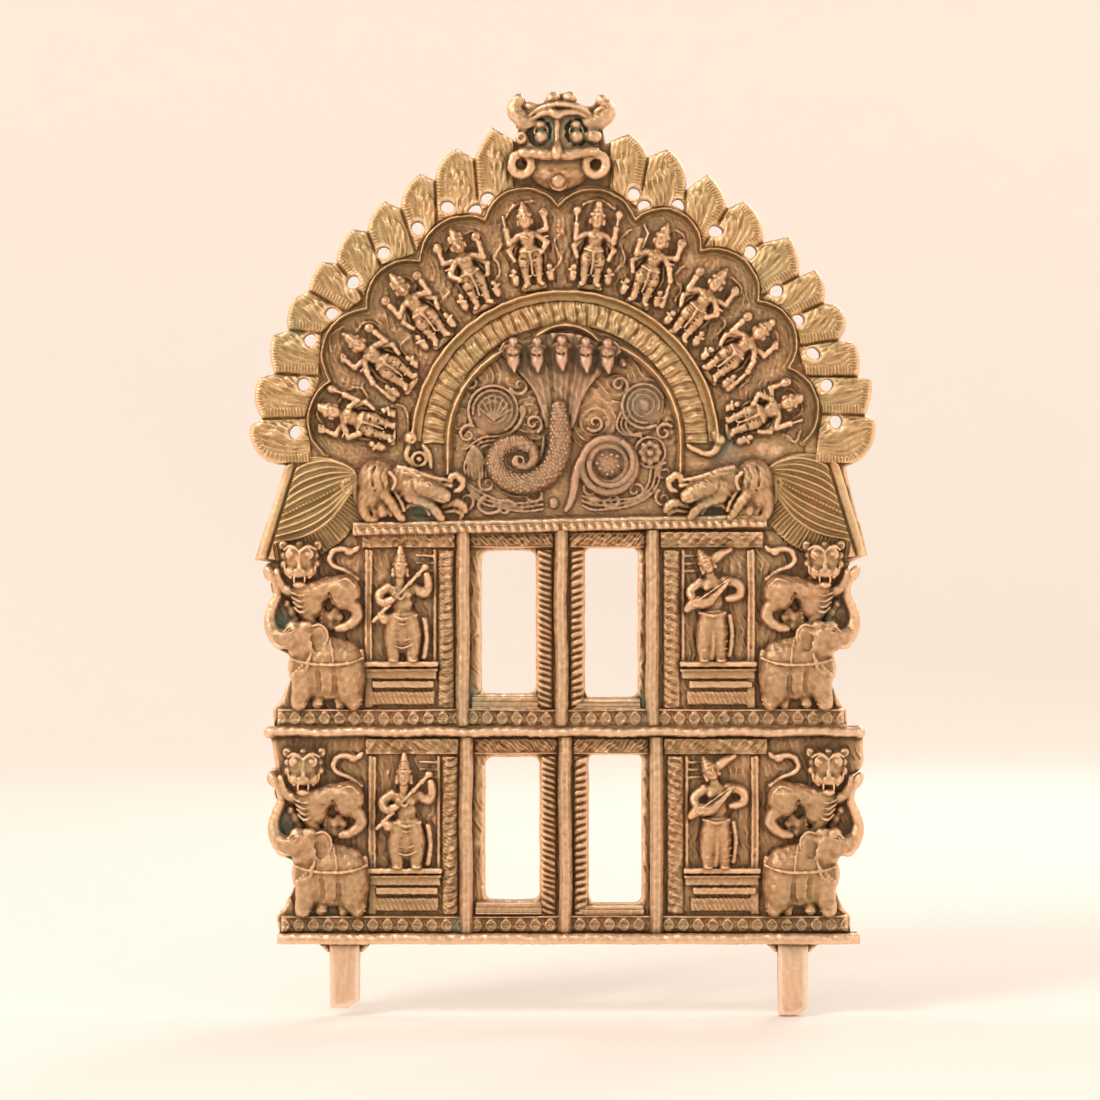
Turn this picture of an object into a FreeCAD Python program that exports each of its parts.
import FreeCAD, Part
import math
import os

# Brass prabhavali: the arched backplate that stands behind a shrine image.
# Millimetres, +Z up, the decorated face looks along -Y.
# The origin is the middle of the base bar's underside, level with the middle of the tenons.
# Plans are drawn as (x, z) seen from the front.

V = FreeCAD.Vector
doc = FreeCAD.newDocument("prabhavali")
sheet = doc.addObject("Spreadsheet::Sheet", "Sizes")

SIZES = (
    ("plate_back", 3.0),
    ("plate_thickness", 4.0),
    ("tier_pitch", 82.4),
    ("tier_shift", 1.5),
    ("bar_height", 4.0),
    ("base_bar_reach", 8.0),
    ("middle_bar_reach", 6.5),
    ("lintel_height", 5.4),
    ("lintel_reach", 5.5),
    ("lintel_tilt", 1.2),
    ("ledge_height", 7.2),
    ("ledge_proud", 3.0),
    ("ledge_lip", 1.2),
    ("ledge_lip_proud", 1.6),
    ("lotus_pitch", 6.0),
    ("lotus_proud", 1.4),
    ("rail_width", 5.4),
    ("rail_crest", 2.4),
    ("rail_proud", 4.4),
    ("window_corner", 3.0),
    ("rope_pitch", 4.8),
    ("rope_proud", 2.6),
    ("frieze_height", 6.8),
    ("frieze_proud", 2.2),
    ("niche_proud", 3.0),
    ("post_width", 3.2),
    ("border_hole", 5.0),
    ("border_proud", 1.4),
    ("border_crest", 1.2),
    ("rim_width", 2.8),
    ("rim_proud", 4.0),
    ("arch_radius", 61.4),
    ("arch_centre_height", 199.0),
    ("arch_rim_width", 4.2),
    ("arch_rim_proud", 5.5),
    ("band_width", 9.6),
    ("band_proud", 2.0),
    ("band_ribs", 27.0),
    ("inner_rim_width", 2.6),
    ("inner_rim_proud", 3.6),
    ("plume_proud", 2.6),
    ("tenon_width", 12.0),
    ("tenon_thickness", 6.0),
    ("tenon_left_length", 26.0),
    ("tenon_right_length", 29.0),
    ("tenon_left_middle", -88.0),
    ("tenon_right_middle", 91.0),
)
for row, (alias, value) in enumerate(SIZES, start=1):
    sheet.set("A%d" % row, alias)
    sheet.set("B%d" % row, str(value))
    sheet.setAlias("B%d" % row, alias)
doc.recompute()


def size(alias):
    return float(sheet.get(alias))


FRONT = size("plate_back") - size("plate_thickness")
PITCH = size("tier_pitch")
JOINT_HEIGHT = 2 * PITCH
pieces = []


# Plans, sketches and bodies

def flat(point, depth=0.0):
    """A plan point as a vector at the given depth."""
    return V(point[0], depth, point[1])


def outline(start, runs):
    """Edges round a plan: a run is (end,) for a line or (middle, end) for an arc."""
    edges = []
    here = start
    for run in runs:
        end = run[-1]
        if len(run) == 1:
            edges.append(Part.LineSegment(flat(here), flat(end)))
        else:
            edges.append(Part.Arc(flat(here), flat(run[0]), flat(end)))
        here = end
    return edges


def plan_face(start, runs, depth=0.0):
    """The plan's outline as a flat face at the given depth."""
    wire = Part.Wire([edge.toShape() for edge in outline(start, runs)])
    face = Part.Face(wire)
    face.translate(V(0, depth, 0))
    return face


def sketch_geometry(start, runs):
    """The same outline in a sketch's own flat coordinates."""
    found = []
    here = V(start[0], start[1], 0)
    for run in runs:
        end = V(run[-1][0], run[-1][1], 0)
        if len(run) == 1:
            found.append(Part.LineSegment(here, end))
        else:
            found.append(Part.Arc(here, V(run[0][0], run[0][1], 0), end))
        here = end
    return found


def origin_plane(body, role):
    return [plane for plane in body.Origin.OriginFeatures if plane.Role == role][0]


def add_sketch(body, name, geometry, offset):
    """A sketch facing the front, its plane set along -Y by the offset's expression."""
    sketch = body.newObject("Sketcher::SketchObject", name)
    sketch.AttachmentSupport = (origin_plane(body, "XZ_Plane"), [""])
    sketch.MapMode = "FlatFace"
    sketch.addGeometry(geometry, False)
    sketch.setExpression(".AttachmentOffset.Base.z", offset)
    return sketch


def front_body(label, geometry, back, thickness):
    """A body padded towards the front from its back plane."""
    body = doc.addObject("PartDesign::Body", label)
    body.Label = label
    body.AllowCompound = True
    sketch = add_sketch(body, label + "_plan", geometry, back)
    pad = body.newObject("PartDesign::Pad", label + "_pad")
    pad.Profile = sketch
    pad.setExpression("Length", thickness)
    pieces.append(body)
    return body


def pocket_through(body, geometry, name):
    """Cuts a plan right through the body, from its front face towards the back."""
    sketch = add_sketch(body, name + "_plan", geometry, "Sizes.plate_thickness - Sizes.plate_back")
    doc.recompute()
    before = body.Shape.Volume
    pocket = body.newObject("PartDesign::Pocket", name)
    pocket.Profile = sketch
    pocket.Type = "ThroughAll"
    doc.recompute()
    if body.Shape.Volume >= before:
        raise RuntimeError(name + " cut nothing")


def feature(label, shape):
    """A sub-part whose shape is worked out below from the sheet's sizes."""
    part = doc.addObject("Part::Feature", label)
    part.Label = label
    part.Shape = shape
    pieces.append(part)
    return part


# Relief: every ornament is a flat-backed form that seats on a plate's front face

THIN_LIMB = 2.5

def facet(points):
    return Part.Face(Part.makePolygon(points + points[:1]))


def skin(a, b, c, d):
    """A four-sided facet, folded once where its corners aren't in one plane."""
    lift = (b - a).cross(d - a)
    if lift.Length > 1e-9 and abs((c - a).dot(lift.normalize())) < 1e-6:
        return [facet([a, b, c, d])]
    return [facet([a, b, c]), facet([a, c, d])]


def relief(stations, sides=3, seat=FRONT, closed=False):
    """A swelling limb on the plate: stations are (x, z, half width, height) along its run."""
    rings = []
    count = len(stations)
    for index, (x, z, half, proud) in enumerate(stations):
        before = stations[(index - 1) % count if closed else max(index - 1, 0)]
        after = stations[(index + 1) % count if closed else min(index + 1, count - 1)]
        run = V(after[0] - before[0], 0, after[1] - before[1]).normalize()
        across = V(run.z, 0, -run.x)
        ring = []
        for step in range(sides + 1):
            angle = math.pi * step / sides
            rise = proud * math.sin(angle) if 0 < step < sides else 0.0
            ring.append(V(x, seat - rise, z) + across * (half * math.cos(angle)))
        rings.append(ring)
    faces = [] if closed else [facet(rings[0]), facet(rings[-1])]
    following = rings[1:] + rings[:1] if closed else rings[1:]
    for near, far in zip(rings, following):
        for step in range(sides):
            faces += skin(near[step], near[step + 1], far[step + 1], far[step])
        faces += skin(near[0], far[0], far[sides], near[sides])
    solid = Part.Solid(Part.Shell(faces))
    if solid.Volume < 0:
        solid.reverse()
    return solid


def limbs(runs):
    """Each run as a limb; a thin one is a plain ridge."""
    shapes = []
    for run in runs:
        widest = max(half for x, z, half, proud in run)
        shapes.append(relief(run, 2 if widest < THIN_LIMB else 3))
    return shapes


def joined(solids):
    """One clean solid, or a group where they don't touch."""
    shape = solids[0]
    for solid in solids[1:]:
        grown = shape.fuse(solid)
        if grown.Volume < shape.Volume - 0.001:
            raise RuntimeError("a fuse lost metal near %s" % solid.BoundBox)
        shape = grown
    shape = shape.removeSplitter()
    if len(shape.Solids) == 1:
        return shape.Solids[0]
    return Part.makeCompound(shape.Solids)


def largest(shape):
    return max(shape.Solids, key=lambda solid: solid.Volume)


def clear_of(shape, neighbours):
    """The shape without the space its neighbours already fill."""
    for other in neighbours:
        if shape.BoundBox.intersect(other.BoundBox):
            shape = shape.cut(other)
    return joined(shape.Solids)


def ornament(label, shape, single=False):
    """Seats relief on a plate, where it gives way to the relief already placed there."""
    placed = [piece.Shape for piece in pieces if piece.TypeId == "Part::Feature"]
    shape = clear_of(shape, placed)
    return feature(label, largest(shape) if single else shape)


def pleated(near_line, far_line, ground, rise):
    """A pleated field between two lines of plan points; every second pleat line is a crest."""
    low = []
    high = []
    for index, (near, far) in enumerate(zip(near_line, far_line)):
        crest = ground + rise * (index % 2)
        low.append((flat(near, FRONT), flat(far, FRONT)))
        high.append((flat(near, FRONT - ground), flat(far, FRONT - crest)))
    faces = []
    for end in (0, -1):
        faces.append(facet([low[end][0], high[end][0], high[end][1], low[end][1]]))
    for index in range(len(low) - 1):
        following = index + 1
        faces += skin(high[index][0], high[index][1], high[following][1], high[following][0])
        faces += skin(low[index][0], low[index][1], low[following][1], low[following][0])
        faces += skin(low[index][0], high[index][0], high[following][0], low[following][0])
        faces += skin(low[index][1], high[index][1], high[following][1], low[following][1])
    solid = Part.Solid(Part.Shell(faces))
    if solid.Volume < 0:
        solid.reverse()
    return solid


def mirrored(stations, shift=0.0):
    return [(shift - x, z, half, proud) for x, z, half, proud in stations]


def moved(stations, right, up, lean=0.0):
    """Stations drawn about their own origin, leaned to the right and set in place."""
    turn = math.radians(lean)
    placed = []
    for x, z, half, proud in stations:
        across = x * math.cos(turn) + z * math.sin(turn)
        height = z * math.cos(turn) - x * math.sin(turn)
        placed.append((right + across, up + height, half, proud))
    return placed


def prism(points, proud, seat=FRONT):
    """A flat polygon raised off the plate."""
    return facet([flat(point, seat) for point in points]).extrude(V(0, -proud, 0))


def block(left, right, low, high, proud, seat=FRONT):
    return prism([(left, low), (right, low), (right, high), (left, high)], proud, seat)


def boss(x, z, radius, proud, sides=10, flatness=0.55):
    """A low domed boss: a faceted drum under a smaller flat top."""
    rings = []
    for reach, rise in ((1.0, 0.0), (1.0, 0.45 * proud), (flatness, proud)):
        ring = []
        for step in range(sides):
            angle = 2 * math.pi * (step + 0.5) / sides
            place = (x + reach * radius * math.cos(angle), z + reach * radius * math.sin(angle))
            ring.append(flat(place, FRONT - rise))
        rings.append(ring)
    faces = [facet(rings[0]), facet(rings[-1])]
    for near, far in zip(rings, rings[1:]):
        for step in range(sides):
            following = (step + 1) % sides
            faces += skin(near[step], near[following], far[following], far[step])
    solid = Part.Solid(Part.Shell(faces))
    if solid.Volume < 0:
        solid.reverse()
    return solid


def spiral(x, z, start_radius, end_radius, start, end, half, proud, count, squeeze=1.0):
    """Stations along a spiral; angles in degrees from +X towards +Z."""
    stations = []
    for step in range(count):
        part = step / (count - 1)
        angle = math.radians(start + (end - start) * part)
        reach = start_radius + (end_radius - start_radius) * part
        thin = 1 - 0.45 * part
        place = (x + reach * math.cos(angle), z + squeeze * reach * math.sin(angle))
        stations.append((place[0], place[1], half * thin, proud * (1 - 0.25 * part)))
    return stations


def relief_ring(x, z, radius, half, proud, count=12):
    """A raised ring, closed on itself."""
    stations = []
    for step in range(count):
        angle = 2 * math.pi * step / count
        stations.append((x + radius * math.cos(angle), z + radius * math.sin(angle), half, proud))
    return relief(stations, 3, FRONT, True)


ARC_CUTS = 3


def arc_points(first, middle, last, count):
    """Evenly spaced points along the arc through three plan points."""
    arc = Part.Arc(flat(first), flat(middle), flat(last)).toShape()
    return [(point.x, point.z) for point in arc.discretize(count + 1)]


def chords(start, runs, count):
    """The same runs with each arc drawn as short straight cuts, as a filed casting is."""
    found = []
    here = start
    for run in runs:
        if len(run) == 1:
            found.append(run)
        else:
            found += [(point,) for point in arc_points(here, run[0], run[1], count)[1:]]
        here = run[-1]
    return found


def moulding(first, middle, last, width, proud, count, sides=3):
    """A moulding with sloping sides bent along an arc; two sides meet in a sharp crest."""
    points = arc_points(first, middle, last, count)
    return relief([(x, z, width / 2, proud) for x, z in points], sides)


# Plan of the arch: flame leaves, mask, scalloped rim
# Each leaf is (middle of its combed flank, tip, next notch), from the left foot up and down again
LEAVES_LEFT_START = (-112.0, 190.5)
LEAVES_LEFT = (
    ((-124.2, 197.0), (-125.8, 206.6), (-121.2, 209.0)),
    ((-124.2, 217.5), (-122.0, 225.9), (-116.2, 227.2)),
    ((-118.0, 235.0), (-116.8, 242.6), (-110.8, 244.6)),
    ((-110.9, 251.5), (-108.0, 257.6), (-102.5, 260.4)),
    ((-101.2, 266.0), (-97.0, 272.2), (-91.4, 271.4)),
    ((-90.2, 278.0), (-84.6, 285.0), (-79.2, 284.2)),
    ((-77.0, 291.0), (-71.8, 296.2), (-65.8, 293.4)),
    ((-64.0, 300.8), (-57.4, 307.4), (-52.0, 304.6)),
    ((-49.6, 312.0), (-42.6, 317.4), (-36.4, 313.2)),
    ((-33.4, 319.4), (-29.0, 325.8), (-20.0, 320.4)),
)
LEAVES_RIGHT_START = (16.6, 319.5)
LEAVES_RIGHT = (
    ((30.2, 319.4), (25.2, 323.2), (33.2, 313.8)),
    ((46.9, 310.8), (40.6, 317.2), (48.4, 300.8)),
    ((62.2, 300.8), (56.8, 307.2), (65.2, 293.4)),
    ((77.4, 289.8), (71.2, 296.4), (79.4, 279.8)),
    ((92.8, 275.4), (89.6, 282.2), (93.7, 266.2)),
    ((103.8, 262.6), (99.8, 269.0), (103.4, 255.4)),
    ((112.2, 249.0), (107.6, 255.2), (109.4, 240.6)),
    ((117.8, 233.0), (116.2, 239.6), (117.2, 225.9)),
    ((122.4, 218.0), (122.6, 225.2), (120.0, 210.4)),
    ((122.0, 197.0), (123.8, 209.4), (112.5, 189.8)),
)
MASK_TOP = (
    ((-18.6, 327.0),),
    ((-22.9, 332.8), (-18.8, 338.7)),
    ((-16.4, 338.0), (-15.2, 335.6)),
    ((-9.6, 334.4),),
    ((-6.0, 338.7), (-2.0, 339.6)),
    ((2.5, 339.3), (4.6, 334.6)),
    ((10.0, 334.6),),
    ((12.0, 336.3), (12.4, 338.2)),
    ((19.0, 336.0), (19.6, 330.5)),
    ((18.0, 327.5), (15.2, 326.0)),
    ((16.6, 319.5),),
)
FRINGE_LEFT = ((-117.1, 152.0), (-99.5, 153.4), (-85.0, JOINT_HEIGHT))
FRINGE_RIGHT = ((114.0, 152.0), (98.5, 154.4), (84.0, JOINT_HEIGHT))
PLUME_CORNER_LEFT = (-124.0, 152.8)
PLUME_CORNER_RIGHT = (120.8, 155.0)

# The rim's ten lobes: the cusps between them and the middle of each
RIM_CUSPS = (
    (-96.0, 195.0), (-93.5, 224.0), (-79.0, 253.0), (-58.0, 272.0), (-32.0, 288.5), (-2.8, 294.0),
    (28.0, 288.4), (54.0, 276.0), (77.0, 256.0), (89.0, 229.5), (95.0, 200.0),
)
RIM_MIDDLES = (
    (-102.5, 210.0), (-94.0, 244.5), (-74.0, 267.5), (-51.0, 286.0), (-16.0, 301.0),
    (13.0, 300.5), (48.0, 290.0), (70.0, 273.5), (90.0, 248.0), (100.8, 214.0),
)

# Round holes pierced through the border, from the left foot over the top to the right foot
BORDER_HOLES = (
    (-107.6, 204.0), (-104.4, 222.8), (-101.8, 240.8), (-93.2, 251.2), (-84.8, 263.6),
    (-72.4, 275.6), (-58.8, 285.2), (-46.8, 293.8), (-35.8, 292.6), (-31.0, 297.2),
    (27.6, 299.2), (31.6, 294.4), (45.0, 294.4), (60.0, 284.2), (74.0, 275.8),
    (84.4, 260.4), (93.0, 248.8), (99.2, 235.2), (104.4, 222.8), (108.0, 208.0),
)


HOLE_SIDES = 6
FLANK_CUTS = 4
LEAF_REACH = 0.95
LEAF_ROOTS_LEFT = (
    (-101.0, 193.0), (-107.0, 209.5), (-99.5, 226.0), (-100.5, 243.0), (-90.0, 253.5), (-83.0, 258.0),
    (-77.5, 270.5), (-61.5, 277.0), (-53.5, 290.0), (-35.5, 293.5), (-22.0, 303.5),
)
LEAF_ROOTS_RIGHT = (
    (19.0, 304.5), (30.5, 295.5), (49.5, 295.0), (58.0, 280.5), (72.8, 276.8), (81.5, 259.5),
    (93.0, 251.2), (95.5, 240.0), (97.5, 227.0), (105.0, 213.0), (101.0, 195.0),
)
BORDER_ENDS = {"left": (-21.0, 320.2), "right": (18.2, 319.8)}


def leaf_runs(leaves, side):
    """Outline of a row of leaves: the combed flanks face away from the mask, the backs are straight."""
    runs = []
    for middle, tip, notch in leaves:
        if side == "left":
            runs += [(middle, tip), (notch,)]
        else:
            runs += [(tip,), (middle, notch)]
    return runs


def arch_runs():
    runs = [(PLUME_CORNER_LEFT,), (LEAVES_LEFT_START,)]
    runs += chords(LEAVES_LEFT_START, leaf_runs(LEAVES_LEFT, "left"), FLANK_CUTS)
    runs += chords(LEAVES_LEFT[-1][-1], MASK_TOP, ARC_CUTS)
    runs += chords(LEAVES_RIGHT_START, leaf_runs(LEAVES_RIGHT, "right"), FLANK_CUTS)
    runs += [(PLUME_CORNER_RIGHT,), (FRINGE_RIGHT[0],)]
    runs += [(FRINGE_RIGHT[1], FRINGE_RIGHT[2])]
    runs += [(FRINGE_LEFT[2],), (FRINGE_LEFT[1], FRINGE_LEFT[0])]
    return runs


def round_polygon(x, z, radius, sides):
    """Corners of a many-sided hole or boss round a plan point."""
    corners = []
    for step in range(sides):
        angle = 2 * math.pi * (step + 0.5) / sides
        corners.append((x + radius * math.cos(angle), z + radius * math.sin(angle)))
    return corners


def hole_outlines():
    """The outlines of all the small cast holes."""
    geometry = []
    for x, z in BORDER_HOLES:
        corners = round_polygon(x, z, size("border_hole") / 2, HOLE_SIDES)
        runs = [(corner,) for corner in corners[1:] + corners[:1]]
        geometry += sketch_geometry(corners[0], runs)
    return geometry


def make_arch_plate():
    geometry = sketch_geometry(FRINGE_LEFT[0], arch_runs())
    body = front_body("arch_plate", geometry, "-Sizes.plate_back", "Sizes.plate_thickness")
    pocket_through(body, hole_outlines(), "border_piercing")


def rim_lobes():
    return list(zip(RIM_CUSPS, RIM_MIDDLES, RIM_CUSPS[1:]))


def leaf_solid(start, runs, root_start, root_end):
    """One flame leaf: pleats fan from its root near the rim to the comb of its outer edge."""
    edge = [start] + [run[-1] for run in chords(start, runs, FLANK_CUTS)]
    roots = []
    combs = []
    for step, point in enumerate(edge):
        share = step / (len(edge) - 1)
        root = tuple(a + (b - a) * share for a, b in zip(root_start, root_end))
        roots.append(root)
        combs.append(tuple(a + (b - a) * LEAF_REACH for a, b in zip(root, point)))
    return pleated(roots, combs, size("border_proud"), size("border_crest"))


def make_flame_border(side, start, leaves, roots):
    """One half of the leaf border, pierced round the holes of the plate behind it."""
    solids = []
    notches = [start] + [leaf[-1] for leaf in leaves]
    inner_end = 0 if side == "right" else -1
    notches[inner_end] = BORDER_ENDS[side]
    for index, (middle, tip, notch) in enumerate(leaves):
        runs = leaf_runs([(middle, tip, notches[index + 1])], side)
        solids.append(leaf_solid(notches[index], runs, roots[index], roots[index + 1]))
    shape = joined(solids)
    for x, z in BORDER_HOLES:
        punch = prism(round_polygon(x, z, 0.56 * size("border_hole"), HOLE_SIDES), 10)
        shape = shape.cut(punch)
    return ornament("flame_border_" + side, shape)


def make_scallop_rim():
    lobes = [moulding(*lobe, size("rim_width"), size("rim_proud"), 4, 2) for lobe in rim_lobes()]
    return ornament("scallop_rim", joined(lobes))


# The round arch inside the rim

def make_arch_mouldings():
    height = size("arch_centre_height")
    reach = size("arch_radius") - size("arch_rim_width") / 2
    outer = moulding(
        (-reach, height), (0.0, height + reach), (reach, height),
        size("arch_rim_width"), size("arch_rim_proud"), 18,
    )
    curls = [boss(sign * (reach + 1.0), height - 2.2, 3.2, 4.0, 8) for sign in (-1, 1)]
    ornament("arch_moulding_outer", joined([outer] + curls))
    make_inner_moulding()

    band_outer = size("arch_radius") - size("arch_rim_width")
    band_inner = band_outer - size("band_width")
    count = 2 * int(size("band_ribs"))
    lines = []
    for radius in (band_inner, band_outer):
        line = []
        for index in range(count + 1):
            angle = math.pi * index / count
            line.append((radius * math.cos(angle), height + radius * math.sin(angle)))
        lines.append(line)
    band = pleated(lines[0], lines[1], 0.5 * size("band_proud"), size("band_proud"))
    ornament("ribbed_arch_band", band, True)


def make_inner_moulding():
    """The inner rim: two long arcs that meet in a low peak over the serpent's hoods."""
    width = size("inner_rim_width")
    proud = size("inner_rim_proud")
    runs = (
        ((-46.8, 199.0), (-39.2, 223.5), (-12.5, 240.6), 6),
        ((-12.5, 240.6), (-1.5, 246.4), (13.0, 240.4), 4),
        ((13.0, 240.4), (38.6, 224.0), (46.0, 199.0), 6),
    )
    arcs = [moulding(first, middle, last, width, proud, count) for first, middle, last, count in runs]
    legs = [
        block(-48.1, -45.5, 187.0, 199.2, proud),
        block(44.7, 47.3, 187.0, 199.2, proud),
    ]
    ornament("arch_moulding_inner", joined(arcs + legs))


# Mask at the crown of the arch: horns, brows, bulging eyes, moustache rolls that end in curls

def make_mask():
    eyes = []
    for x in (-10.0, 4.6):
        eyes.append(relief([(x, 318.4, 1.2, 6), (x, 320.6, 2.6, 10), (x, 325.6, 2.6, 10), (x, 328.2, 1.2, 7)]))
    horns = [
        relief([(-16, 325, 3.6, 5), (-19.2, 331, 3.4, 6), (-19.2, 336.4, 2.9, 5), (-18.0, 338.4, 1.3, 3)]),
        relief([(12, 325, 3.6, 5), (15.8, 330.5, 3.6, 6), (16.0, 335.8, 3.0, 5), (14.4, 338.0, 1.4, 3)]),
    ]
    curls = [relief_ring(x, 310.4, 3.2, 1.4, 9.0, 8) for x in (-17.2, 12.2)]
    rolls = [
        relief([(-3, 315.4, 2.6, 8), (-9, 314.6, 2.8, 8.5), (-16.2, 313.6, 2.0, 8)]),
        relief([(-2, 315.4, 2.6, 8), (4, 314.6, 2.8, 8.5), (11.2, 313.6, 2.0, 8)]),
    ]
    solids = [
        relief([(-2.5, 301.5, 9, 2.6), (-2.5, 307, 14, 5), (-2, 318, 16.4, 6.4), (-2, 327, 16.0, 6.4),
                (-2, 333.0, 12.0, 5.0)]),
        relief([(-14.5, 329.4, 1.2, 7), (-8, 331.6, 1.7, 9), (-2.2, 333.6, 1.9, 9.5), (4, 331.8, 1.7, 9),
                (10.4, 329.6, 1.2, 7)]),
        relief([(-2.5, 313.4, 2.2, 10), (-2.5, 316.4, 2.4, 11.5), (-2.7, 320, 1.2, 9.5), (-2.7, 327, 1.0, 8)]),
        relief([(-5, 333.4, 3.2, 5), (-4.6, 337, 3.0, 5.5), (-4.2, 338.9, 1.2, 3)]),
        relief([(1.0, 333.4, 3.4, 5), (1.2, 337, 2.9, 5.5), (1.2, 338.9, 1.2, 3)]),
        boss(-17.4, 321.8, 3.0, 6.0, 8),
        boss(11.8, 321.8, 3.0, 6.0, 8),
        boss(-2.2, 303.8, 2.9, 7.0, 8),
    ]
    return ornament("kirtimukha_mask", joined(solids + eyes + horns + curls + rolls))


# Five-headed serpent under the arch

SERPENT_HEADS = ((-20.6, 0.0), (-11.2, 0.0), (-1.4, 0.6), (8.2, 0.0), (16.8, -0.4))


def make_serpent():
    lobes = []
    heads = []
    for x, rise in SERPENT_HEADS:
        lobes.append(relief([
            (-2.0 + 0.14 * x, 207.0, 1.8, 2.6),
            (-1.0 + 0.62 * x, 220.0, 2.9, 3.4),
            (x, 231.0 + rise, 4.4, 4.2),
            (x, 238.4 + rise, 3.6, 4.0),
        ], 3))
        snout = [(x, 227.0 + rise, 0.6, 7.0), (x, 234.4 + rise, 2.8, 11.5), (x, 237.0 + rise, 2.0, 8.0)]
        knob = [(x, 237.0 + rise, 1.4, 7.0), (x, 239.4 + rise, 2.4, 11.0), (x, 242.0 + rise, 1.1, 7.0)]
        heads.append(joined([relief(snout), relief(knob, 2)]))
    ornament("naga_hood", joined(lobes), True)
    ornament("naga_heads", Part.makeCompound(heads))

    neck = [(-1.8, 211.0, 3.4, 4.4), (-1.6, 200.0, 3.6, 5.0)]
    coil = spiral(-17.0, 190.6, 15.2, 5.6, 20, -400, 3.8, 5.2, 18, 0.80)
    ornament("naga_coil_left", relief(neck + coil), True)
    tail = [(9.6, 186.0, 1.6, 3.0), (4.6, 187.0, 2.0, 3.4), (2.6, 180.0, 1.8, 3.2), (1.4, 172.6, 0.9, 2.4)]
    solids = [relief_ring(17.6, 191.2, 8.2, 3.0, 4.6, 16), boss(17.6, 191.4, 4.4, 3.4), relief(tail)]
    ornament("naga_coil_right", joined(solids), True)


# Ten standing avatars round the field, each leaning out from the arch

ARM_POSES = {
    "raised": ((3.4, 3.6), (7.0, 2.0), (7.4, 7.2)),
    "hip": ((3.4, 3.6), (7.0, 0.4), (4.4, -3.0)),
    "bent": ((3.4, 3.6), (6.6, 1.0), (8.4, -3.4)),
}
AVATARS = (
    ((-83.0, 208.6), "hip", "raised"),
    ((-74.0, 232.6), "bent", "raised"),
    ((-58.6, 252.8), "raised", "raised"),
    ((-38.6, 268.6), "hip", "raised"),
    ((-14.6, 277.6), "raised", "hip"),
    ((11.6, 277.8), "raised", "raised"),
    ((34.6, 270.0), "raised", "bent"),
    ((54.0, 254.4), "raised", "hip"),
    ((69.6, 236.8), "raised", "bent"),
    ((79.4, 211.6), "hip", "raised"),
)
LEAN_CENTRE = (0.0, 180.0)


def avatar_solids(place, left_arm, right_arm):
    x, z = place
    lean = math.degrees(math.atan2(x - LEAN_CENTRE[0], z - LEAN_CENTRE[1]))
    runs = [
        [(0, -4.5, 3.4, 3.6), (0, -0.5, 2.8, 4.2), (0, 3.8, 4.2, 5.0), (0, 5.4, 2.0, 4.2)],
        [(0, 4.8, 1.4, 4.4), (0, 6.6, 2.5, 6.0), (0, 9.4, 2.5, 5.8), (0, 12.4, 1.6, 4.6), (0, 15.6, 0.4, 2.6)],
    ]
    for sign in (-1, 1):
        runs.append([(sign * 2.2, -13.4, 1.7, 2.6), (sign * 2.1, -8.0, 1.8, 3.2), (sign * 1.9, -3.0, 2.4, 3.8)])
    for sign, pose in ((-1, left_arm), (1, right_arm)):
        shoulder, elbow, hand = ARM_POSES[pose]
        runs.append([
            (sign * shoulder[0], shoulder[1], 1.3, 4.0),
            (sign * elbow[0], elbow[1], 1.3, 3.8),
        ])
        runs.append([
            (sign * elbow[0], elbow[1], 1.3, 3.8),
            (sign * hand[0], hand[1], 1.2, 4.2),
        ])
    return joined(limbs([moved(run, x, z, lean) for run in runs]))


def make_avatars():
    for number, (place, left_arm, right_arm) in enumerate(AVATARS, start=1):
        ornament("avatar_%02d" % number, avatar_solids(place, left_arm, right_arm), True)


# Makaras on the lintel, their feathered tails, and the foliage under the arch

MAKARA = (
    [(-80.5, 178.0, 4.0, 4.0), (-77.0, 182.0, 8.4, 8.0), (-70.5, 182.4, 9.2, 9.0), (-65.5, 182.0, 6.4, 7.0)],
    [(-68.0, 185.0, 5.0, 6.0), (-60.0, 184.4, 5.6, 8.0), (-53.0, 182.8, 4.4, 8.0), (-47.0, 181.0, 2.6, 7.0),
     (-44.6, 177.8, 1.6, 5.0)],
    [(-64.0, 179.0, 2.6, 5.0), (-62.0, 173.0, 2.4, 4.6), (-60.4, 171.4, 1.8, 4.0)],
    [(-77.0, 170.9, 2.2, 4.5), (-73.2, 172.8, 3.6, 6.0), (-69.4, 170.9, 2.2, 4.5)],
    [(-54.0, 178.4, 1.8, 5.0), (-50.5, 174.4, 1.8, 4.4), (-44.0, 172.2, 1.4, 3.6)],
)


def make_makaras():
    for side in ("left", "right"):
        runs = [run if side == "left" else mirrored(run, 0.5) for run in MAKARA]
        ornament("makara_" + side, joined(limbs(runs)), True)


PLUME_TOP = ((-112.0, 190.0), (-97.5, 194.6), (-83.6, 189.0))
PLUME_LOW_RIB = ((-116.0, 160.0), (-104.0, 163.0), (-94.0, 170.0), (-89.0, 178.0))
PLUME_TOP_RIB = ((-112.5, 184.0), (-105.0, 190.0), (-95.0, 192.5), (-86.5, 189.0))
PLUME_RIBS = 4
FRINGE_TEETH = 5


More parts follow.
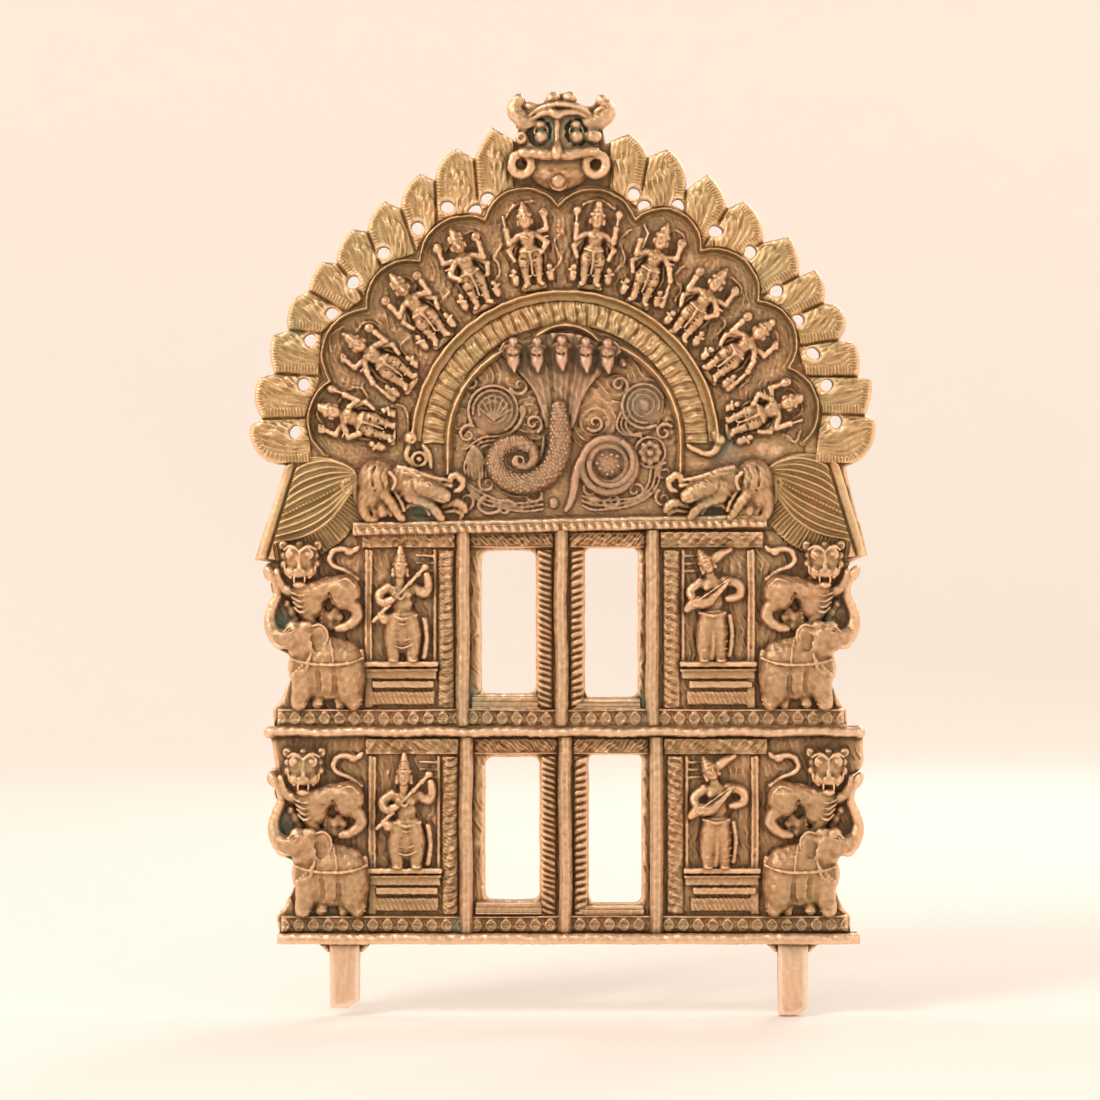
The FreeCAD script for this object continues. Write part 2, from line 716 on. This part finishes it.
def plume_solids():
    """A feathered tail: fan-shaped ground, straight outer strip, nested sweeping ribs, comb fringe."""
    corner = (-123.4, 153.2)
    runs = [((-112.0, 190.0),), (PLUME_TOP[1], PLUME_TOP[2]), ((-80.6, 178.0), (-81.4, 168.0)),
            ((-86.0, 163.8),), ((-99.5, 154.0), (-116.8, 152.6)), (corner,)]
    ground = plan_face(corner, chords(corner, runs, 4), FRONT)
    solids = [ground.extrude(V(0, -size("plume_proud"), 0))]
    solids.append(relief([(-120.8, 154.6, 1.8, 3.2), (-110.6, 188.4, 1.4, 3.2)], 3, FRONT - 0.5))
    for index in range(PLUME_RIBS):
        share = index / (PLUME_RIBS - 1)
        run = []
        for low, high in zip(PLUME_LOW_RIB, PLUME_TOP_RIB):
            place = [a + (b - a) * share for a, b in zip(low, high)]
            run.append((place[0], place[1], 1.0, 3.8))
        solids.append(relief(run, 2, FRONT - 0.5))
    for index in range(FRINGE_TEETH):
        angle = math.radians(254 + 64 * index / (FRINGE_TEETH - 1))
        middle = (-104.5 + 20.0 * math.cos(angle), 174.0 + 16.0 * math.sin(angle))
        tip = (-104.5 + 27.0 * math.cos(angle), 174.0 + 21.6 * math.sin(angle))
        solids.append(relief([(middle[0], middle[1], 0.6, 3.2), (tip[0], tip[1], 1.0, 2.8)], 2, FRONT - 0.5))
    return ground, joined(solids)


def make_plumes():
    ground, shape = plume_solids()
    column = ground.extrude(V(0, -20, 0))
    shape = shape.common(column)
    flip = FreeCAD.Matrix()
    flip.A11 = -1
    reflected = shape.transformGeometry(flip)
    for side, solid in (("left", shape), ("right", reflected)):
        solid = solid.copy()
        if side == "right":
            solid.translate(V(-2.6, 0, 1.2))
        ornament("makara_tail_" + side, solid, True)


def make_foliage():
    left = [
        relief(spiral(-30.6, 211.0, 10.0, 3.0, 250, -170, 2.6, 3.2, 14)),
        relief([(-34.0, 203.0, 3.0, 2.6), (-37.0, 192.0, 4.6, 3.2), (-35.0, 184.0, 2.4, 2.6)]),
        relief([(-34.0, 176.2, 2.2, 3.0), (-22.0, 174.6, 3.0, 3.0), (-10.0, 173.6, 2.2, 2.8), (-4.0, 175.0, 2.6, 3.2)]),
        relief([(-35.0, 186.0, 2.0, 2.6), (-34.6, 176.0, 2.2, 3.0)]),
    ]
    right = [
        relief(spiral(31.4, 214.6, 7.6, 2.4, 290, -130, 2.3, 3.4, 14)),
        relief([(34.6, 207.4, 2.2, 2.6), (35.0, 200.0, 2.8, 2.8), (34.0, 191.0, 4.4, 3.2), (32.6, 182.0, 2.4, 2.8),
                (22.0, 175.4, 2.4, 3.0), (8.0, 174.4, 2.2, 2.8)]),
    ]
    ornament("scroll_foliage_left", joined(left))
    ornament("scroll_foliage_right", joined(right))


def make_lintel():
    """A beaded bar in two steps, laid across the joint of arch and upper tier, a little askew."""
    height = size("lintel_height")
    low = JOINT_HEIGHT - 0.6
    reach = size("lintel_reach")
    solids = [
        block(-84.6, 80.4, low, low + 0.45 * height, reach),
        block(-84.6, 80.4, low + 0.45 * height, low + height, reach - 1.6),
    ]
    shape = joined(solids)
    shape.rotate(V(0, 0, low), V(0, 1, 0), -size("lintel_tilt"))
    return ornament("lintel_bar", shape)


# One pillar tier: drawn for the lower tier, repeated above it a little to the left

TIER_LEFT = (
    ((-115.2, 9.0),),
    ((-114.6, 11.4), (-112.2, 13.4)),
    ((-110.4, 18.0), (-107.2, 23.5)),
    ((-107.6, 28.5), (-108.8, 32.8)),
    ((-114.6, 36.4), (-117.4, 41.5)),
    ((-116.9, 48.4), (-114.2, 56.4)),
    ((-116.2, 59.6), (-115.6, 61.8)),
    ((-119.2, 65.4), (-115.6, 69.6)),
)
TIER_RIGHT = (
    ((113.6, 60.0),),
    ((116.8, 49.0), (118.3, 41.5)),
    ((114.5, 37.6), (108.6, 33.4)),
    ((107.3, 30.8), (106.8, 27.0)),
    ((107.6, 22.5), (109.6, 17.0)),
    ((111.2, 13.6), (114.0, 10.4)),
)
TIER_SHOULDER = (114.2, 66.6)
TIER_CORNERS = ((-117.6, PITCH), (119.0, PITCH), (119.0, 76.0), (118.4, 70.0))
FOOT_HALF = 114.0
WINDOWS = ((-31.8, -10.2, 17.0, 74.0), (9.6, 30.6, 15.6, 75.4))
RAIL_MIDDLES = (-39.3, 0.0, 36.3)
ROPE_STRIPS = ((-49.4, -42.4), (-9.8, -3.2), (3.2, 9.2), (40.4, 47.6))
FRIEZES = ((-79.6, -42.4), (-36.4, -3.1), (3.1, 33.4), (39.4, 80.6))
NICHE_LEFT = (-78.6, -49.8)
NICHE_RIGHT = (48.0, 77.4)


def window_geometry(left, right, low, high, corner):
    """A rounded window in sketch coordinates."""
    bend = corner * (1 - math.sqrt(0.5))
    start = (left + corner, low)
    runs = [
        ((right - corner, low),), ((right - bend, low + bend), (right, low + corner)),
        ((right, high - corner),), ((right - bend, high - bend), (right - corner, high)),
        ((left + corner, high),), ((left + bend, high - bend), (left, high - corner)),
        ((left, low + corner),), ((left + bend, low + bend), (left + corner, low)),
    ]
    return sketch_geometry(start, chords(start, runs, ARC_CUTS))


def shifted(run, right, up):
    return tuple((x + right, z + up) for x, z in run)


def tier_runs(foot, right, up, under_arch):
    """Plan of a tier plate: beasts' silhouettes at both ends, straight joints above and below."""
    start, end = shifted(((-FOOT_HALF, foot), (FOOT_HALF, foot)), right, up)
    runs = chords(start, [shifted(run, right, up) for run in TIER_LEFT], ARC_CUTS)
    shoulder = shifted((TIER_SHOULDER,), right, up)
    if under_arch:
        runs.append((FRINGE_LEFT[1], FRINGE_LEFT[2]))
        runs += [(FRINGE_RIGHT[2],), (FRINGE_RIGHT[1], FRINGE_RIGHT[0]), shoulder]
    else:
        corners = shifted(TIER_CORNERS, right, up)
        runs += [(corner,) for corner in corners[:3]]
        runs.append((corners[3], shoulder[0]))
    runs += chords(shoulder[0], [shifted(run, right, up) for run in TIER_RIGHT], ARC_CUTS)
    runs += [(end,), (start,)]
    return start, runs


def make_tier_plate(name, foot, right, up, under_arch):
    start, runs = tier_runs(foot, right, up, under_arch)
    body = front_body(name + "_plate", sketch_geometry(start, runs), "-Sizes.plate_back", "Sizes.plate_thickness")
    for number, (left, rim, low, high) in enumerate(WINDOWS, start=1):
        geometry = window_geometry(left + right, rim + right, low + up, high + up, size("window_corner"))
        pocket_through(body, geometry, name + "_window_%d" % number)


def make_rails(right, up):
    """Three standing rails with sloped cheeks, from the bar below to the joint above."""
    base = size("rail_width")
    crest = size("rail_crest")
    low = size("bar_height")
    rails = []
    for middle in RAIL_MIDDLES:
        points = (
            (middle - base / 2, FRONT), (middle - crest / 2, FRONT - size("rail_proud")),
            (middle + crest / 2, FRONT - size("rail_proud")), (middle + base / 2, FRONT),
        )
        corners = [V(x + right, y, up + low) for x, y in points]
        rails.append(facet(corners).extrude(V(0, 0, PITCH - low)))
    return Part.makeCompound(rails)


def make_ledge(right, up):
    """Lotus ledge under the figures and the stepped sill under each window."""
    low = size("bar_height") + up
    high = low + size("ledge_height")
    proud = size("ledge_proud")
    left_end, right_end = -113.0 + right, 112.6 + right
    count = round((right_end - left_end) / size("lotus_pitch"))
    profile = [(left_end, FRONT)]
    for index in range(2 * count + 1):
        x = left_end + (right_end - left_end) * index / (2 * count)
        profile.append((x, FRONT - proud - size("lotus_proud") * (index % 2)))
    profile.append((right_end, FRONT))
    lip = size("ledge_lip")
    lotus = facet([V(x, y, low) for x, y in profile]).extrude(V(0, 0, high - lip - low))
    solids = [lotus, block(left_end, right_end, high - lip, high, proud + size("ledge_lip_proud"))]
    for left, rim, sill, head in WINDOWS:
        solids.append(block(left + right - 4.0, rim + right + 1.0, high, up + sill - 1.6, 2.4))
        solids.append(block(left + right - 4.0, rim + right + 1.0, high, up + sill - 0.2, 1.2))
    return joined(solids)


def make_rope(left, rim, low, high):
    """A strip of plump beads, like a laid rope."""
    count = round((high - low) / size("rope_pitch"))
    proud = size("rope_proud")
    profile = [(low, FRONT)]
    for index in range(2 * count + 1):
        z = low + (high - low) * index / (2 * count)
        profile.append((z, FRONT - proud * (1.0 if index % 2 else 0.45)))
    profile.append((high, FRONT))
    return facet([V(left, y, z) for z, y in profile]).extrude(V(rim - left, 0, 0))


def niche_solids(left, rim, up):
    """The niche of a musician: two posts, head moulding, step and pedestal."""
    post = size("post_width")
    proud = size("niche_proud")
    return joined([
        block(left, left + post, up + 11.2, up + 74.6, proud),
        block(rim - 1.2, rim, up + 11.2, up + 74.6, proud - 1.2),
        block(left, rim, up + 24.4, up + 29.6, proud + 0.8),
        block(left, rim, up + 28.6, up + 30.0, proud + 2.2),
        block(left + post, rim, up + 19.4, up + 22.6, proud + 1.0),
        block(left + post, rim, up + 12.6, up + 18.0, proud - 0.6),
        block(left, rim, up + 11.2, up + 24.4, 1.0),
    ])


MUSICIAN_LEFT = (
    [(-67.4, 30.1, 2.4, 3.6), (-66.6, 39.0, 2.8, 4.6), (-65.0, 48.0, 3.6, 5.2)],
    [(-59.0, 30.1, 2.2, 3.6), (-59.6, 39.0, 2.5, 4.6), (-61.0, 48.0, 3.6, 5.2)],
    [(-63.4, 44.0, 5.0, 5.0), (-63.0, 50.0, 6.0, 5.6), (-63.2, 55.0, 4.8, 5.2), (-63.6, 60.0, 6.4, 5.6),
     (-64.0, 62.6, 3.2, 5.0)],
    [(-64.0, 61.6, 1.8, 5.6), (-64.0, 64.2, 3.2, 7.8), (-64.0, 68.4, 3.1, 7.6), (-64.0, 72.0, 1.9, 5.6),
     (-64.4, 74.6, 0.7, 3.6)],
    [(-74.6, 46.4, 0.9, 6.0), (-54.2, 67.8, 0.9, 7.4)],
    [(-57.8, 60.0, 1.9, 5.0), (-53.8, 57.6, 1.7, 5.0)],
    [(-53.8, 57.0, 1.7, 5.0), (-53.4, 65.6, 1.5, 5.6)],
    [(-69.4, 60.0, 1.9, 5.0), (-72.6, 55.4, 1.6, 5.2)],
    [(-70.6, 44.4, 1.0, 5.0), (-69.4, 46.6, 2.0, 6.4), (-68.4, 48.8, 1.0, 5.0)],
)
MUSICIAN_RIGHT = (
    [(57.0, 30.1, 2.2, 3.6), (57.0, 41.0, 2.8, 4.4), (58.2, 50.0, 3.4, 5.0)],
    [(63.4, 30.1, 2.2, 3.6), (62.8, 41.0, 2.6, 4.4), (62.0, 50.0, 3.4, 5.0)],
    [(60.2, 46.0, 4.4, 5.0), (60.4, 54.0, 4.4, 5.4), (60.2, 61.0, 5.6, 5.8), (59.8, 65.0, 3.0, 5.2)],
    [(67.4, 74.4, 0.6, 4.2), (63.4, 72.4, 1.7, 6.0), (60.2, 70.0, 2.9, 7.8), (56.6, 67.4, 3.1, 8.2),
     (53.2, 65.0, 1.6, 6.4)],
    [(49.6, 51.2, 1.2, 6.0), (53.4, 54.4, 2.4, 7.4), (58.0, 54.2, 2.4, 7.6), (62.0, 57.2, 1.5, 7.2),
     (66.4, 62.2, 0.9, 6.0)],
    [(64.0, 62.4, 1.9, 5.2), (71.4, 60.4, 1.7, 5.2)],
    [(71.2, 61.0, 1.7, 5.2), (70.6, 53.0, 1.6, 5.0)],
)
YALI = (
    [(-103.8, 56.6, 1.6, 7.0), (-103.8, 60.4, 3.6, 9.5), (-103.8, 66.0, 5.0, 11.0), (-103.8, 72.0, 5.8, 10.5),
     (-103.8, 75.4, 4.6, 8.0)],
    [(-109.4, 70.0, 1.6, 6.0), (-109.2, 74.4, 2.0, 8.5), (-107.6, 76.8, 1.2, 6.0)],
    [(-98.2, 70.0, 1.6, 6.0), (-98.4, 74.4, 2.0, 8.5), (-100.0, 76.8, 1.2, 6.0)],
    [(-104.0, 58.0, 4.2, 7.0), (-99.0, 57.6, 5.0, 8.0), (-93.0, 59.4, 4.4, 7.4), (-86.4, 59.6, 5.4, 8.0),
     (-81.6, 57.4, 3.6, 6.0)],
    [(-102.4, 55.0, 2.9, 7.0), (-100.6, 47.6, 2.4, 6.0)],
    [(-84.0, 55.4, 3.4, 7.0), (-81.6, 49.6, 2.6, 6.0), (-85.4, 44.6, 2.0, 5.0)],
    [(-80.6, 63.4, 1.2, 4.6), (-87.0, 66.4, 1.2, 4.6), (-92.4, 69.4, 1.4, 4.6), (-91.6, 73.4, 1.4, 4.4),
     (-86.6, 74.6, 1.2, 4.0), (-83.2, 73.6, 0.8, 3.4)],
)
ELEPHANT = (
    [(-108.2, 26.0, 7.0, 4.6), (-102.0, 27.4, 10.6, 8.0), (-92.0, 27.0, 12.0, 9.2), (-84.0, 26.4, 12.0, 8.6),
     (-79.8, 25.0, 9.6, 4.6)],
    [(-104.4, 11.3, 3.0, 5.6), (-103.6, 22.0, 3.6, 6.8)],
    [(-96.4, 11.3, 2.4, 4.0), (-96.4, 22.0, 2.8, 4.6)],
    [(-88.4, 11.3, 2.4, 4.0), (-88.4, 22.0, 2.8, 4.6)],
    [(-82.2, 11.3, 2.8, 5.6), (-83.4, 22.0, 3.6, 6.8)],
    [(-113.6, 38.6, 2.4, 5.6), (-108.6, 40.6, 5.0, 9.0), (-102.0, 41.2, 5.4, 9.4), (-95.4, 39.6, 4.4, 7.0)],
    [(-111.6, 38.8, 2.8, 5.4), (-115.0, 41.8, 2.2, 5.2), (-115.4, 48.0, 1.8, 4.8), (-112.6, 55.0, 1.7, 4.4),
     (-113.4, 60.8, 1.8, 4.2), (-116.2, 64.0, 2.4, 4.2), (-117.4, 66.8, 1.2, 3.0)],
)


def make_tier(name, foot, right, up, under_arch):
    make_tier_plate(name, foot, right, up, under_arch)
    ornament(name + "_rails", make_rails(right, up))
    ledge = make_ledge(right, up)
    if foot < size("bar_height"):
        bar = block(-119.0, 119.0, up + foot, up + size("bar_height"), size("middle_bar_reach"))
        ledge = joined([ledge, bar])
    ornament(name + "_ledge", ledge)
    friezes = []
    frieze_low = up + PITCH - 1.0 - size("frieze_height")
    frieze_high = frieze_low + size("frieze_height")
    for left, rim in FRIEZES:
        friezes.append(block(left + right, rim + right, frieze_low, frieze_high, size("frieze_proud")))
    ornament(name + "_frieze", Part.makeCompound(friezes))
    ropes = []
    rope_low = up + size("bar_height") + size("ledge_height")
    for left, rim in ROPE_STRIPS:
        ropes.append(make_rope(left + right, rim + right, rope_low, frieze_low))
    ornament(name + "_rope_strips", Part.makeCompound(ropes))
    for side in ("left", "right"):
        if side == "left":
            niche = niche_solids(NICHE_LEFT[0] + right, NICHE_LEFT[1] + right, up)
            player = MUSICIAN_LEFT
        else:
            niche = niche_solids(-NICHE_RIGHT[1] - right, -NICHE_RIGHT[0] - right, up)
            niche = niche.mirror(V(0, 0, 0), V(1, 0, 0))
            player = MUSICIAN_RIGHT
        ornament(name + "_niche_" + side, niche)
        ornament(name + "_musician_" + side, joined(limbs([moved(run, right, up) for run in player])), True)
        for beast, drawn in (("yali", YALI), ("elephant", ELEPHANT)):
            runs = [run if side == "left" else mirrored(run, 0.6) for run in drawn]
            solid = joined(limbs([moved(run, right, up) for run in runs]))
            ornament(name + "_" + beast + "_" + side, solid, True)


# Base bar with a through mortise for each tenon, and the tenons that enter the pedestal

TENON_FLARE = 4.4
TENON_DROP = 5.0
TENON_CHAMFER = 2.0


def tenon_prism(points):
    """A plan drawn round a tenon, as thick as the tenon."""
    half = size("tenon_thickness") / 2
    return facet([flat(point, -half) for point in points]).extrude(V(0, 2 * half, 0))


def make_base():
    """The bar is widened round each tenon, and the tenon runs up through it to the lower plate."""
    reach = size("base_bar_reach")
    height = size("bar_height")
    profile = (
        (size("plate_back"), 0.0), (size("plate_back"), height), (-reach + 1.0, height),
        (-reach, height - 1.0), (-reach, 1.0), (-reach + 1.0, 0.0),
    )
    bar = facet([V(-114.6, y, z) for y, z in profile]).extrude(V(232.0, 0, 0))
    for side in ("left", "right"):
        middle = size("tenon_%s_middle" % side)
        foot = -size("tenon_%s_length" % side)
        left = middle - size("tenon_width") / 2
        rim = middle + size("tenon_width") / 2
        for edge, out in ((left, -1), (rim, 1)):
            flare = ((edge, 0.4), (edge + out * TENON_FLARE, 0.4), (edge + out * TENON_FLARE, -0.6),
                     (edge + out * 1.4, -2.0), (edge, -TENON_DROP))
            bar = bar.fuse(tenon_prism(flare))
        tenon = tenon_prism((
            (left, height), (left, foot), (rim - TENON_CHAMFER, foot),
            (rim, foot + 1.4 * TENON_CHAMFER), (rim, height),
        ))
        bar = bar.cut(tenon)
        feature("tenon_" + side, tenon)
    feature("base_bar", bar.removeSplitter())


make_arch_plate()
make_lintel()
make_tier("upper_tier", 0.0, -size("tier_shift"), PITCH, True)
make_tier("lower_tier", size("bar_height"), 0.0, 0.0, False)
make_base()
make_scallop_rim()
make_flame_border("left", LEAVES_LEFT_START, LEAVES_LEFT, LEAF_ROOTS_LEFT)
make_flame_border("right", LEAVES_RIGHT_START, LEAVES_RIGHT, LEAF_ROOTS_RIGHT)
make_arch_mouldings()
make_mask()
make_serpent()
make_makaras()
make_avatars()
make_plumes()
make_foliage()
doc.recompute()

os.makedirs("parts", exist_ok=True)
for item in doc.Objects:
    if "Invalid" in item.State or "Error" in item.State:
        raise RuntimeError(item.Label + " failed: " + ", ".join(item.State))
for piece in pieces:
    shape = piece.Shape
    if shape.isNull() or not shape.isValid() or not shape.Solids:
        raise RuntimeError(piece.Label + " has no valid solid")
    shape.exportStep("parts/%s.step" % piece.Label)
    print(piece.Label, len(shape.Solids), "solids, volume %.0f" % shape.Volume)
